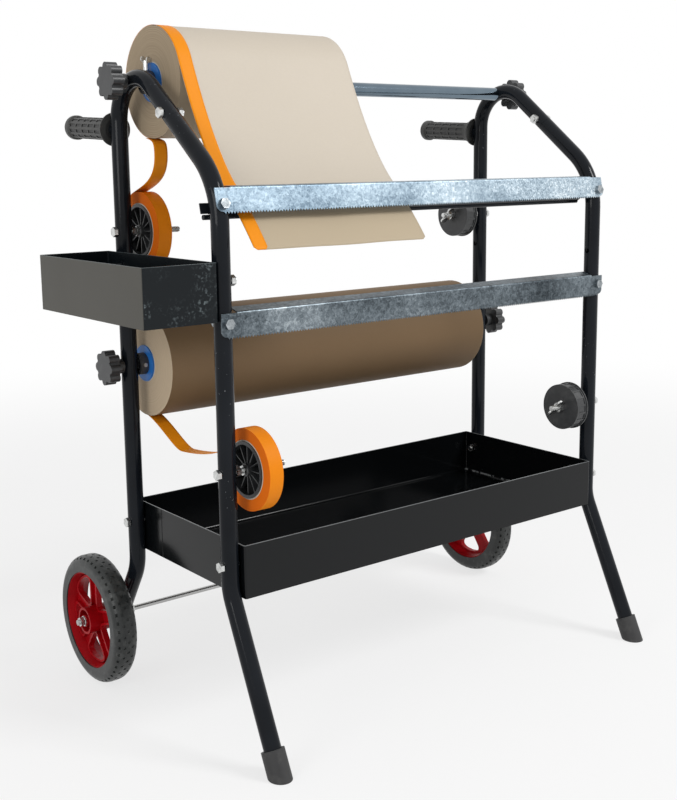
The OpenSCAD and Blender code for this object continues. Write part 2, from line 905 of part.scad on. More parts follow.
// Collar with a threaded hole for its wing screw
module collar(x, p, turn) {
    color([0.05, 0.05, 0.05])
        along_x(x, p)
            difference() {
                ring(collar_d, shaft_d + 2 * fit, collar_l);
                translate([0, 0, collar_l / 2])
                    rotate([0, 0, turn])
                        rotate([0, -90, 0])
                            cylinder(h = collar_d, d = screw_d + 2 * fit);
            }
}

// Two wings on a boss, drawn along +Z
module wings(boss_d, boss_h, span, height, t) {
    lobe = height * 0.34;
    cylinder(h = boss_h, d = boss_d);
    rotate([90, 0, 0])
        translate([0, 0, -t / 2])
            linear_extrude(height = t)
                for (s = [-1, 1]) {
                    translate([s * (span / 2 - lobe), height - lobe])
                        circle(r = lobe, $fn = 32);
                    polygon([[0, boss_h * 0.2], [s * boss_d * 0.45, boss_h * 0.2],
                        [s * (span / 2 - 0.2), height - lobe * 1.25],
                        [s * (span / 2 - 1.7 * lobe), height - lobe * 0.4], [0, boss_h * 0.8]]);
                }
}

module wing_screw(x, p, turn) {
    color([0.75, 0.75, 0.72])
        along_x(x + collar_l / 2, p)
            rotate([0, 0, turn])
                rotate([0, -90, 0])
                    translate([0, 0, collar_d / 2 + seat]) {
                        translate([0, 0, 8])
                            wings(8, 5, 16.4, 11, 2);
                        cylinder(h = 9, d = 8);
                        translate([0, 0, -(collar_d - shaft_d) / 2])
                            cylinder(h = (collar_d - shaft_d) / 2 + 1, d = screw_d);
                    }
}

// Slotted screw flush in a collar
module set_screw(x, p, turn) {
    color([0.75, 0.75, 0.72])
        along_x(x + collar_l / 2, p)
            rotate([0, 0, turn])
                rotate([0, -90, 0])
                    translate([0, 0, shaft_d / 2 + seat])
                        difference() {
                            cylinder(h = (collar_d - shaft_d) / 2 + 1, d = screw_d);
                            translate([-screw_d, -0.5, (collar_d - shaft_d) / 2])
                                cube([2 * screw_d, 1, 2]);
                        }
}

// Star knob on the outside of an upright, with its stud in the shaft's end plug
module star_knob(p) {
    lobes = 8;
    r = knob_d / 2;
    neck_x = outer_x + seat;
    stud_l = tube_d + 2 * seat + 11.4;
    color([0.12, 0.12, 0.12])
        along_x(neck_x, p) {
            cylinder(h = knob_neck + 1, d = 22);
            translate([0, 0, knob_neck])
                linear_extrude(height = knob_t)
                    union() {
                        circle(r = r - 5);
                        for (i = [0:lobes - 1])
                            rotate(i * 360 / lobes)
                                translate([r - 6.5, 0])
                                    circle(r = 6.5, $fn = 32);
                    }
            translate([0, 0, -stud_l])
                cylinder(h = stud_l + 8, d = bolt_d);
        }
}

// Hub drawn along +Z: flat face at 0, open cup and lip at the far end
module tape_hub_shape() {
    wall = 3;
    boss = 9;
    difference() {
        union() {
            difference() {
                cylinder(h = hub_l, r = hub_r);
                translate([0, 0, wall])
                    cylinder(h = hub_l, r = hub_r - wall);
            }
            translate([0, 0, tape_w])
                ring(2 * hub_r + 3, 2 * hub_r - 2 * wall, hub_lip);
            cylinder(h = hub_l, r = boss);
            for (i = [0:hub_ribs - 1])
                rotate(i * 360 / hub_ribs)
                    translate([boss - 1, -0.75, wall - 1])
                        cube([hub_r - boss, 1.5, tape_w - 4]);
        }
        translate([0, 0, -1])
            cylinder(h = hub_l + 2, d = bolt_d + 2 * fit);
        for (i = [0:hub_pockets - 1])
            rotate((i + 0.5) * 360 / hub_pockets)
                translate([hub_r - 1.3, -hub_pocket_w / 2, 3])
                    cube([5, hub_pocket_w, tape_w - 6]);
    }
}

// Flat face of a hub that sits gap inside the right upright
function hub_face(gap) = inner_x - gap - hub_l;

module tape_hub(p, gap) {
    color([0.06, 0.06, 0.06])
        along_x(hub_face(gap), p)
            tape_hub_shape();
}

module tape_core(p, gap) {
    color([0.75, 0.68, 0.55])
        along_x(hub_face(gap), p)
            ring(tape_core_d + 2 * tape_core_wall, tape_core_d, tape_w);
}

module tape_roll(p, gap) {
    color([0.95, 0.45, 0.05])
        along_x(hub_face(gap), p)
            ring(tape_d, tape_core_d + 2 * tape_core_wall + 2 * fit, tape_w);
}

module wing_nut(p, gap) {
    color([0.75, 0.75, 0.72])
        along_x(hub_face(gap) - seat, p)
            mirror([0, 0, 1])
                rotate(45)
                    difference() {
                        wings(16, 8, 38, 18, 3);
                        translate([0, 0, -1])
                            cylinder(h = 30, d = bolt_d + 2 * fit);
                    }
}

// Points of a cubic curve, and its direction there
function curve_at(c, t) = pow(1 - t, 3) * c[0] + 3 * t * pow(1 - t, 2) * c[1]
    + 3 * t * t * (1 - t) * c[2] + pow(t, 3) * c[3];
function curve(c, n) = [for (i = [0:n]) curve_at(c, i / n)];

// Curve from a to b that leaves along u and arrives along v, with handles of length m and n
function spline(a, u, m, b, v, n, steps) = curve([a, a + m * u, b - n * v, b], steps);

function on_circle(c, r, a) = c + r * [cos(a), sin(a)];
function arc(c, r, from, to, n) = [for (i = [0:n]) on_circle(c, r, from + (to - from) * i / n)];

// Moves each point of a line sideways by d, to the left of its direction
function aside(pts, d) = [for (i = [0:len(pts) - 1])
    let (v = pts[min(i + 1, len(pts) - 1)] - pts[max(i - 1, 0)])
    pts[i] + d * [-v[1], v[0]] / norm(v)];

// Sheet between x0 and x1 whose middle follows the [y, z] points
module sheet(pts, t, x0, x1) {
    back = aside(pts, -t / 2);
    side(x0)
        linear_extrude(height = x1 - x0)
            polygon(concat(aside(pts, t / 2), [for (i = [len(pts) - 1:-1:0]) back[i]]));
}

module paper_web() {
    color([0.86, 0.8, 0.7])
        sheet(web_path, sheet_t, upper_roll_x, upper_roll_x + upper_roll_w);
}

// The edge tape lies on the web; its free end drops from the back of the roll to the reel
module upper_tape_strip() {
    gap = sheet_t + 2 * fit;
    on_web = aside(web_path, -gap);
    reel = on_circle(upper_reel_p, tape_d / 2 + seat + sheet_t / 2, strip_reel);
    loop_p = upper_shaft_p + strip_loop;
    free = concat(
        spline(reel, [-sin(strip_reel), cos(strip_reel)], 31, loop_p, [0, 1], 42, 14),
        [for (i = [1:8]) curve_at([loop_p, loop_p + [0, 20],
            on_web[0] - 17 * [-sin(web_on), cos(web_on)], on_web[0]], i / 8)]);
    x = -inner_x + upper_left_gap + hub_lip;
    color([0.95, 0.45, 0.05]) {
        sheet(free, sheet_t, x, x + tape_w);
        sheet(on_web, sheet_t, upper_roll_x, upper_roll_x + tape_w);
    }
}

// From the bottom of the lower roll down to the lower left reel
module lower_tape_strip() {
    top = on_circle(lower_shaft_p, lower_roll_r + seat + sheet_t / 2, strip_low);
    low = lower_reel_p + [0.648 * frame_d, -0.06 * tape_d];
    reel = on_circle(lower_reel_p, tape_d / 2 + seat + sheet_t / 2, strip_low_reel);
    path = concat(
        spline(top, [sin(strip_low), -cos(strip_low)], 0.27 * lower_roll_d, low, [-1, 0.06],
            0.194 * tape_d, 14),
        [for (i = [1:14]) curve_at([low, low + 0.366 * tape_d * [-1, 0.06],
            reel - 0.182 * tape_d * [-sin(strip_low_reel), cos(strip_low_reel)], reel], i / 14)]);
    x = -inner_x + lower_left_gap + hub_lip;
    color([0.95, 0.45, 0.05])
        sheet(path, sheet_t, x, x + tape_w);
}

place() left() rear_tube();  // left_rear_tube
place() rear_tube();  // right_rear_tube
place() left() front_tube();  // left_front_tube
place() front_tube();  // right_front_tube
place() left() foot();  // left_foot
place() foot();  // right_foot
place() left() grip();  // left_grip
place() grip();  // right_grip
place() main_tray();
place() tool_box();
place() upper_cutter_bar();
place() lower_cutter_bar();
place() paper_guide_bar();
place() shaft(upper_shaft_p);  // upper_shaft
place() shaft(lower_shaft_p);  // lower_shaft
place() shaft_end_plugs();
place() axle();
place() axle_nuts();
place() frame_joint_bolts();
place() tray_and_box_bolts();
place() cutter_bar_bolts();
place() hub_bolts();
place() hub_lock_nuts();
place() left() wheel_rim();  // left_wheel_rim
place() wheel_rim();  // right_wheel_rim
place() left() tyre();  // left_tyre
place() tyre();  // right_tyre
place() paper_roll(upper_roll_x, upper_shaft_p, upper_roll_d, upper_roll_w);  // upper_paper_roll
place() roll_core(upper_roll_x, upper_shaft_p, upper_roll_w);  // upper_roll_core
place() core_plugs(upper_roll_x, upper_shaft_p, upper_roll_w);  // upper_core_plugs
place() paper_roll(lower_roll_x, lower_shaft_p, lower_roll_d, lower_roll_w);  // lower_paper_roll
place() roll_core(lower_roll_x, lower_shaft_p, lower_roll_w);  // lower_roll_core
place() core_plugs(lower_roll_x, lower_shaft_p, lower_roll_w);  // lower_core_plugs
place() collar(upper_left_collar_x, upper_shaft_p, up);  // upper_left_collar
place() collar(upper_right_collar_x, upper_shaft_p, up);  // upper_right_collar
place() collar(lower_left_collar_x, lower_shaft_p, forward);  // lower_left_collar
place() collar(lower_right_collar_x, lower_shaft_p, forward);  // lower_right_collar
place() wing_screw(upper_left_collar_x, upper_shaft_p, up);  // upper_left_wing_screw
place() wing_screw(upper_right_collar_x, upper_shaft_p, up);  // upper_right_wing_screw
place() set_screw(lower_left_collar_x, lower_shaft_p, forward);  // lower_left_set_screw
place() set_screw(lower_right_collar_x, lower_shaft_p, forward);  // lower_right_set_screw
place() left() star_knob(upper_shaft_p);  // upper_left_star_knob
place() star_knob(upper_shaft_p);  // upper_right_star_knob
place() left() star_knob(lower_shaft_p);  // lower_left_star_knob
place() star_knob(lower_shaft_p);  // lower_right_star_knob
place() left() tape_hub(upper_reel_p, upper_left_gap);  // upper_left_tape_hub
place() left() tape_hub(lower_reel_p, lower_left_gap);  // lower_left_tape_hub
place() tape_hub(upper_reel_p, right_gap);  // upper_right_tape_hub
place() tape_hub(lower_reel_p, right_gap);  // lower_right_tape_hub
place() left() tape_core(upper_reel_p, upper_left_gap);  // upper_tape_core
place() left() tape_core(lower_reel_p, lower_left_gap);  // lower_tape_core
place() left() tape_roll(upper_reel_p, upper_left_gap);  // upper_tape_roll
place() left() tape_roll(lower_reel_p, lower_left_gap);  // lower_tape_roll
place() left() wing_nut(upper_reel_p, upper_left_gap);  // upper_left_wing_nut
place() left() wing_nut(lower_reel_p, lower_left_gap);  // lower_left_wing_nut
place() wing_nut(upper_reel_p, right_gap);  // upper_right_wing_nut
place() wing_nut(lower_reel_p, right_gap);  // lower_right_wing_nut
place() paper_web();
place() upper_tape_strip();
place() lower_tape_strip();
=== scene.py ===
# %% [markdown]
# # A masking paper dispenser on wheels
# The real thing is a painted tube frame that carries two rolls of brown masking paper. As a sheet
# is pulled off, its edge picks up an orange tape from a reel of its own, and a toothed bar cuts the
# sheet. The rigid pieces come from the CAD frame as they are and only get their finishes here.
# Paper, tape and the screw threads are made here, because their look depends on thin edges and
# small repeats.

# %% Load the frame
import json
import math
from itertools import accumulate

import bpy
from mathutils import Matrix, Vector


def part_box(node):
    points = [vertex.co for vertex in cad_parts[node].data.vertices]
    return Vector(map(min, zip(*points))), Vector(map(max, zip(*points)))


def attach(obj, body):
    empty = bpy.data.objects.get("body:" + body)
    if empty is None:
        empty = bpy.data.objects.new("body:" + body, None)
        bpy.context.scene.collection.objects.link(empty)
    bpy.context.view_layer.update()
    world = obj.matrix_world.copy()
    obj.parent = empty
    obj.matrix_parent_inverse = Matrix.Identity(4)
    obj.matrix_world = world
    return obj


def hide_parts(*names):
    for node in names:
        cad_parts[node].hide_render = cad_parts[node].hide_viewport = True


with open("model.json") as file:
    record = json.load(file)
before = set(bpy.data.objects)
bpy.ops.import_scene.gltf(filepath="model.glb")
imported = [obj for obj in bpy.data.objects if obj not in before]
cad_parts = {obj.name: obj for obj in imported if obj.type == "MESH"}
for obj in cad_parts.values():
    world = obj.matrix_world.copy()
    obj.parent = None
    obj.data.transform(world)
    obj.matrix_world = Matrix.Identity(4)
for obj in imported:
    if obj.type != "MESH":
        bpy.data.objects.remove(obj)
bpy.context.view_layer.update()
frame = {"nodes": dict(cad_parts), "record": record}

nodes = frame["nodes"]
scene = bpy.context.scene

# %% [markdown]
# ## Camera
# The picture was taken from the left front, a little above the upper bar, with a normal lens. A
# camera can be placed by eye, but here its place was solved from known points of the frame, so it
# is written as a place, a direction and a lens. The picture was cropped off centre, and the shift
# repeats that.

# %% Camera at the photograph's angle
IMAGE_W, IMAGE_H = 677, 800
FOCAL_PX = 1174.4
CENTRE_PX = (329.45, 369.74)
CAMERA_AT = Vector((-1.1674, -1.4524, 0.8075))
AZIMUTH, TILT_DOWN, ROLL = -37.45, 10.02, -0.75


def aim(azimuth, tilt, roll):
    """Rotation of a camera that looks along an azimuth from +Y and down by a tilt, in degrees."""
    a, e, r = (math.radians(v) for v in (azimuth, tilt, roll))
    forward = Vector((-math.sin(a) * math.cos(e), math.cos(a) * math.cos(e), -math.sin(e)))
    right = Vector((math.cos(a), math.sin(a), 0))
    up = right.cross(forward)
    right, up = right * math.cos(r) + up * math.sin(r), up * math.cos(r) - right * math.sin(r)
    return Matrix((right, up, -forward)).transposed()


lens = bpy.data.cameras.new("photo_camera")
lens.sensor_width = 36
lens.lens = FOCAL_PX * lens.sensor_width / IMAGE_H
lens.shift_x = (IMAGE_W / 2 - CENTRE_PX[0]) / IMAGE_H
lens.shift_y = (CENTRE_PX[1] - IMAGE_H / 2) / IMAGE_H
lens.clip_end = 60
camera = bpy.data.objects.new("photo_camera", lens)
scene.collection.objects.link(camera)
camera.matrix_world = Matrix.Translation(CAMERA_AT) @ aim(AZIMUTH, TILT_DOWN, ROLL).to_4x4()
scene.camera = camera
print("lens", round(lens.lens, 2), "mm")

# %% [markdown]
# ## Shader values as plain arithmetic
# A finish is a small sum of patterns. Nodes could be placed and wired one by one, but then the sum
# can't be read any more. Here one class wraps a node's output, so that masks are added and
# multiplied as numbers are, and one method makes every other node.

# %% A value that nodes work out
class Value:
    """The output of a node. Arithmetic on it adds Math nodes."""

    def __init__(self, finish, socket):
        self.finish, self.socket = finish, socket

    def math(self, operation, *others):
        return self.finish.arithmetic(operation, self, *others)

    def __add__(self, other):
        return self.math("ADD", other)

    def __sub__(self, other):
        return self.math("SUBTRACT", other)

    def __mul__(self, other):
        return self.math("MULTIPLY", other)

    def __rsub__(self, other):
        return self.finish.arithmetic("SUBTRACT", other, self)

    __radd__, __rmul__ = __add__, __mul__

    def over(self, low, high):
        """0 up to low, 1 from high, and smooth between."""
        return self.finish.node("ShaderNodeMapRange", {"interpolation_type": "SMOOTHSTEP"},
                                {"Value": self, "From Min": low, "From Max": high})


print("Value: the output of a node that can be added, subtracted and multiplied")

# %% One material and the nodes in it
class Finish:
    """A material whose nodes are made by calls."""

    def __init__(self, name):
        self.material = bpy.data.materials.new(name)
        self.material.use_nodes = True
        self.tree = self.material.node_tree
        self.shader = self.tree.nodes["Principled BSDF"]
        self.place = self.node("ShaderNodeTexCoord", output="Object")

    def __str__(self):
        return f"{self.material.name}: {len(self.tree.nodes)} nodes"

    def plug(self, socket, value):
        if isinstance(value, Value):
            self.tree.links.new(value.socket, socket)
        else:
            socket.default_value = value

    def node(self, kind, settings=None, inputs=None, output=0):
        made = self.tree.nodes.new(kind)
        for key, value in (settings or {}).items():
            if key == "stops":
                ramp = made.color_ramp
                while len(ramp.elements) < len(value):
                    ramp.elements.new(0.5)
                for element, (at, colour) in zip(ramp.elements, value):
                    element.position, element.color = at, (*colour, 1)
            else:
                setattr(made, key, value)
        for key, value in (inputs or {}).items():
            self.plug(made.inputs[key], value)
        return Value(self, made.outputs[output])

    def arithmetic(self, operation, *values):
        return self.node("ShaderNodeMath", {"operation": operation}, dict(enumerate(values)))

    def vector(self, operation, inputs, output=0):
        return self.node("ShaderNodeVectorMath", {"operation": operation}, inputs, output)

    def noise(self, scale, detail=3, place=None, output=0):
        return self.node("ShaderNodeTexNoise", {}, {"Vector": place or self.place, "Scale": scale,
                                                    "Detail": detail}, output)

    def cells(self, scale, place):
        """Cells that each have one random colour."""
        return self.node("ShaderNodeTexVoronoi", {}, {"Vector": place, "Scale": scale}, "Color")

    def stretched(self, scale, at=(0, 0, 0)):
        """Object coordinates from the point at, each axis multiplied by scale."""
        shift = tuple(-a * s for a, s in zip(at, scale))
        return self.node("ShaderNodeMapping", {}, {"Vector": self.place, "Scale": scale,
                                                   "Location": shift})

    def axis(self, letter, place=None):
        return self.node("ShaderNodeSeparateXYZ", {}, {"Vector": place or self.place}, letter)

    def ramp(self, value, *stops):
        return self.node("ShaderNodeValToRGB", {"stops": stops}, {"Fac": value})

    def mottled(self, cloud, dark, light):
        """Dark where the cloud is below 0.3, light where it is above 0.7."""
        return self.ramp(cloud, (0.3, dark), (0.7, light))

    def mix(self, factor, a, b):
        """Colour a where the factor is 0, and b where it is 1."""
        a, b = (c if isinstance(c, Value) else (*c, 1) for c in (a, b))
        made = self.tree.nodes.new("ShaderNodeMix")
        made.data_type = "RGBA"
        sockets = [s for s in made.inputs if s.type == "RGBA"]
        self.plug(made.inputs["Factor"], factor)
        self.plug(sockets[0], a)
        self.plug(sockets[1], b)
        return Value(self, next(s for s in made.outputs if s.type == "RGBA"))

    def bump(self, height, distance):
        """A height of 0 to 1 that stands for a depth in metres."""
        self.set(Normal=self.node("ShaderNodeBump", {}, {"Height": height, "Distance": distance,
                                                         "Strength": 1.0}))

    def set(self, **sockets):
        """Values, links or colours for the shader's sockets. In their names _ stands for a space."""
        for name, value in sockets.items():
            if isinstance(value, tuple):
                value = (*value, 1)
            self.plug(self.shader.inputs[name.replace("_", " ")], value)


print("Finish: a material whose nodes are made by calls")

# %% [markdown]
# ## Background
# The photograph shows the dispenser on plain white. More light would give a white background too,
# but it would also bleach the paint. So the world has two strengths: the white one is seen only by
# the camera and by reflections, and the weaker one lights the object.

# %% The white world
AMBIENT = 0.42


def sees_white(tree):
    """1 for a ray from the camera, or one that metal or glass sent on."""
    path = tree.nodes.new("ShaderNodeLightPath")
    total = path.outputs["Is Camera Ray"]
    for ray in ("Is Glossy Ray", "Is Transmission Ray"):
        larger = tree.nodes.new("ShaderNodeMath")
        larger.operation = "MAXIMUM"
        tree.links.new(total, larger.inputs[0])
        tree.links.new(path.outputs[ray], larger.inputs[1])
        total = larger.outputs[0]
    return total


world = bpy.data.worlds.new("white_studio")
scene.world = world
world.use_nodes = True
world.node_tree.nodes.clear()
lit, seen, both, out = (world.node_tree.nodes.new("ShaderNode" + kind) for kind in (
    "Background", "Background", "MixShader", "OutputWorld"))
for light, strength in ((lit, AMBIENT), (seen, 1)):
    light.inputs["Color"].default_value = (1, 1, 1, 1)
    light.inputs["Strength"].default_value = strength
for source, target in (
        (sees_white(world.node_tree), both.inputs[0]), (lit.outputs[0], both.inputs[1]),
        (seen.outputs[0], both.inputs[2]), (both.outputs[0], out.inputs["Surface"])):
    world.node_tree.links.new(source, target)
scene.view_settings.view_transform = "Standard"
print("the world lights with strength", AMBIENT, "and shows white")

# %% [markdown]
# ## Floor
# The object stands on a pale floor that keeps its soft shadow and can't be told from the background
# further out. A shadow catcher would do that in a finished picture, but a floor that glows a little
# for the camera, and more with the distance, works from every side.

# %% A pale floor
FLOOR_RADIUS, FLOOR_SIDES, FLOOR_Z = 14, 64, -0.0005
FLOOR_GLOW = 0.72
FADES_FROM, FADES_TO = 1.2, 3.2

rim = [(FLOOR_RADIUS * math.cos(t), FLOOR_RADIUS * math.sin(t), FLOOR_Z)
       for t in (2 * math.pi * i / FLOOR_SIDES for i in range(FLOOR_SIDES))]
floor_mesh = bpy.data.meshes.new("floor")
floor_mesh.from_pydata(rim, [], [tuple(range(FLOOR_SIDES))])
floor = bpy.data.objects.new("floor", floor_mesh)
scene.collection.objects.link(floor)

f = Finish("floor_finish")
f.set(Base_Color=(0.92, 0.92, 0.92), Roughness=0.9)
far = f.vector("LENGTH", {0: f.place}, "Value").over(FADES_FROM, FADES_TO)
glow = f.node("ShaderNodeEmission", {}, {"Color": (1, 1, 1, 1)})
share = Value(f, sees_white(f.tree)) * (far * (1 - FLOOR_GLOW) + FLOOR_GLOW)
mixed = f.node("ShaderNodeMixShader", {}, {0: share, 1: Value(f, f.shader.outputs[0]), 2: glow})
f.plug(f.tree.nodes["Material Output"].inputs["Surface"], mixed)
floor_mesh.materials.append(f.material)
print(f)

# %% [markdown]
# ## Lamps
# Black tubes show their roundness only by what they mirror. Small lamps would give them thin, hard
# lines, so two large soft ones are used: a strong one high on the right and a weak one on the left.

# %% Two soft lamps
def soft_lamp(name, at, towards, size, power):
    lamp = bpy.data.lights.new(name, "AREA")
    lamp.size, lamp.energy = size, power
    holder = bpy.data.objects.new(name, lamp)
    scene.collection.objects.link(holder)
    holder.location = at
    holder.rotation_euler = (Vector(towards) - Vector(at)).to_track_quat("-Z", "Y").to_euler()
    print(name, size, "m wide,", power, "W")


soft_lamp("high_right", at=(1.6, -2.5, 2.9), towards=(0.1, 0, 0.6), size=1.2, power=80)
soft_lamp("low_left", at=(-3.0, -0.9, 1.3), towards=(0, 0, 0.6), size=1.3, power=24)

# %% [markdown]
# ## Paint on the frame tubes
# The tubes have a smooth powder coat: nearly black, with a faint orange peel in the gloss and a few
# small chips. Chips of one noise would be spread evenly. Two noises that are multiplied, one fine
# and one coarse, make them come in groups.

# %% Frame paint
finish_of = {}


def frame_paint():
    f = Finish("frame_paint_black")
    cloud = f.noise(9, 3)
    black = f.mottled(cloud, (0.005, 0.0065, 0.009), (0.011, 0.0135, 0.018))
    chips = f.noise(300, 2).over(0.73, 0.76) * f.noise(11, 2).over(0.53, 0.62)
    f.set(Base_Color=f.mix(chips, black, (0.36, 0.38, 0.40)),
          Roughness=0.06 + cloud * 0.10 + chips * 0.3, Specular_IOR_Level=0.14)
    f.bump(f.noise(500, 2), 0.00005)
    return f


finish_of["frame_paint"] = frame_paint()
print(finish_of["frame_paint"])

# %% [markdown]
# ## Paint in the tray
# The tray is folded from sheet, glossier than the tubes, and shows wear where things slide in and
# out:
# at the right end of its floor, and in specks all over the inside. Its pale top edge is a painted
# highlight of the rounded edge. A picture of the wear and the highlight could be painted, but these
# places follow from the tray's measures, so masks are worked out from them.

# %% Masks for a folded pan
MID_X, REAR_Y = 0.0221, 0.116088     # midway between the sides, and the line of the rear uprights
THROUGH_WALL = (0.0003, 0.0009)     # metres from the outer face of the sheet metal
UP_THE_WALL, ACROSS_THE_FLOOR = (0.0004, 0.0034), (0.0014, 0.0046)     # how far a fold reaches
UNDER_TOP = (-0.0009, -0.0002)


def inset(value, middle, half):
    """Distance inwards from the nearer of two walls."""
    return half - (value - middle).math("ABSOLUTE")


def near_floor(f, inset_x, inset_y, floor_z):
    """A mask of the folds between floor and walls, which fades over 3 mm, and one of the inside."""
    edge = inset_x.math("MINIMUM", inset_y)
    inside = edge.over(*THROUGH_WALL)
    height = f.axis("Z") - floor_z
    wall = 1 - height.over(*UP_THE_WALL)
    on_floor = 1 - edge.over(*ACROSS_THE_FLOOR)
    return inside * wall * on_floor, inside


def top_edge(f, top_z):
    """1 on the upper edge of the walls."""
    return (f.axis("Z") - top_z).over(*UNDER_TOP)


print("the middle is at x", MID_X, "and the rear uprights are at y", REAR_Y)

# %% Tray paint
TRAY_MIDDLE, TRAY_HALF = (MID_X, -0.0168), (0.35505, 0.1514)
TRAY_FLOOR, TRAY_TOP = 0.2212, 0.2962
SEAM_Y, SEAM_EDGE = 0.0585, (0.0002, 0.0012)     # where two ends of the sheet metal lap
INNER_FACE = (0.0006, 0.0009)
SCUFFED_END, SCUFF_EDGE = 0.004, (-0.002, 0.001)     # how far the scuffs reach from the right wall


def tray_paint():
    f = Finish("tray_paint_gloss_black")
    x, y = f.axis("X"), f.axis("Y")
    dx, dy = (inset(*row) for row in zip((x, y), TRAY_MIDDLE, TRAY_HALF))
    fold, inside = near_floor(f, dx, dy, TRAY_FLOOR)
    cloud = f.noise(6, 4)
    broken = f.noise(120, 5, f.stretched((1, 1, 0.4)))
    right_end = (x - TRAY_MIDDLE[0] - TRAY_HALF[0] + SCUFFED_END).over(*SCUFF_EDGE) * fold
    specks = f.noise(240, 4).over(0.74, 0.78) * f.noise(9, 3).over(0.48, 0.60) * inside
    scuffs = (right_end * broken.over(0.46, 0.56) * 0.8).math("MAXIMUM", specks * 0.5)
    top = top_edge(f, TRAY_TOP)
    # The pale colour along the top edge is a painted highlight of the rounded edge.
    wear_and_painted_highlight = top * (0.35 + 0.4 * f.noise(30, 4))
    lapped = 1 - (y - SEAM_Y).math("ABSOLUTE").over(*SEAM_EDGE)
    seam = lapped * (1 - dx.over(*INNER_FACE)) * (1 - top)
    f.set(Base_Color=f.mix(wear_and_painted_highlight.math("MAXIMUM", scuffs),
                           (0.0035, 0.0042, 0.0048), (0.34, 0.36, 0.37)),
          Roughness=0.07 + cloud * 0.12 + scuffs * 0.3 + wear_and_painted_highlight * 0.2, Specular_IOR_Level=0.24)
    f.bump(f.noise(420, 2) * 0.03 + cloud * 0.08 + fold - seam * 0.5, 0.0012)
    return f


finish_of["tray_paint"] = tray_paint()
print(finish_of["tray_paint"])

# %% [markdown]
# ## Paint on the tool box
# The small box outside the left frame is scuffed: its front has pale dust, most of it low down and
# near the sides, and its outer side is matt, with a painted sheen that makes it greyish. A second
# material on single faces would end in hard lines at the folds, so one material tells the sides
# apart by their place.

# %% Tool box paint
BOX_X, BOX_Y = (-0.4681, -0.3584), (-0.1603, 0.1429)
BOX_FLOOR, BOX_TOP = 0.6046, 0.6818
ON_FACE = (0.0002, 0.0008)
DUST_HEIGHT, DUST_WIDTH = (0.012, 0.05), (0.004, 0.045)     # from the floor, and from a side


def box_paint():
    f = Finish("box_paint_scuffed_black")
    x, y, z = (f.axis(letter) for letter in "XYZ")
    dx, dy = (inset(value, (low + high) / 2, (high - low) / 2)
              for value, (low, high) in ((x, BOX_X), (y, BOX_Y)))
    fold, inside = near_floor(f, dx, dy, BOX_FLOOR)
    cloud = f.noise(11, 4)
    front = 1 - (y - BOX_Y[0]).over(*ON_FACE)
    outer = 1 - (x - BOX_X[0]).over(*ON_FACE)
    low_down = 1 - (z - BOX_FLOOR).over(*DUST_HEIGHT)
    by_side = 1 - dx.over(*DUST_WIDTH)
    patches = f.noise(24, 4).over(0.42, 0.66) * (by_side * 0.7 + low_down * 0.4)
    specks = f.noise(150, 4).over(0.70, 0.76) * 0.3
    dusty = (f.noise(260, 6).over(0.50, 0.74) * patches + specks) * front
    wear_and_painted_highlight = top_edge(f, BOX_TOP) * (0.12 + 0.3 * f.noise(40, 4))
    # The paler warm grey of the outer side is a painted sheen on the same near-black paint.
    paint = f.mix(outer, (0.006, 0.0085, 0.0105), (0.092, 0.089, 0.079))
    f.set(Base_Color=f.mix((dusty * 0.75).math("MAXIMUM", wear_and_painted_highlight), paint, (0.30, 0.36, 0.38)),
          Roughness=0.22 + cloud * 0.14 + outer * 0.22 + dusty * 0.3, Specular_IOR_Level=0.18)
    f.bump(f.noise(420, 2) * 0.02 + cloud * 0.05 + fold, 0.0012)
    return f


finish_of["box_paint"] = box_paint()
print(finish_of["box_paint"])

# %% [markdown]
# ## Galvanised cutter bars
# Zinc froze on the bars in flat crystals, some bright and some dark, and each mirrors the room a
# little differently. A smooth noise would look like cloud. A Voronoi pattern has one value per
# cell, which is what such crystals look like, and a little noise on its coordinates bends the
# cells' straight edges.

# %% Galvanised finish
def galvanised(name, tones, crystals, painted_sheen_slope=0.0):
    """Spangle whose tones run from dark to pale, with a painted sheen that makes it paler towards
    the right.
    """
    f = Finish(name)
    jitter = f.vector("SCALE", {0: f.noise(300, 2, output="Color"), "Scale": 0.004})
    bent = f.vector("ADD", {0: f.place, 1: jitter})
    large = f.axis("X", f.cells(crystals, bent))
    small = f.axis("Y", f.cells(crystals * 2.1, bent))
    patch = f.noise(6.5, 5)
    smear = f.noise(1, 4, f.stretched((9, 60, 60)))
    # The last term is a painted sheen that grows towards the right.
    grey = (large * 0.26 + small * 0.24 + patch * 1.35 + smear * 0.35 - 0.62
            + f.axis("X") * painted_sheen_slope)
    f.set(Base_Color=f.ramp(grey, *zip((0.1, 0.4, 0.7, 1.0), tones)),
          Metallic=0.9 + large * 0.1, Roughness=0.30 + small * 0.22)
    f.bump(large * 0.6 + small * 0.4, 0.00003)
    return f


own_finish = {
    "upper_cutter_bar": galvanised(
        "galvanised_pale", crystals=270, painted_sheen_slope=0.45,
        tones=((0.09, 0.13, 0.17), (0.21, 0.275, 0.33), (0.38, 0.46, 0.52), (0.74, 0.79, 0.81))),
    # The lower bar is the same galvanised steel; its darker tones are painted shade.
    "lower_cutter_bar": galvanised(
        "galvanised_dull", crystals=230,
        tones=((0.03, 0.038, 0.045), (0.095, 0.115, 0.13), (0.20, 0.235, 0.26), (0.42, 0.47, 0.50)))}
for finish in own_finish.values():
    print(finish)

# %% [markdown]
# ## Bolts, shafts and axle
# Bolts and nuts are zinc plated, which is bright with a soft cloud, and duller on the cutter bars.
# The roll shafts and the axle were turned or drawn, and fine rings run round them. Rings could be
# cut into the mesh, but a noise that changes fast along X and slowly across it draws them as well.

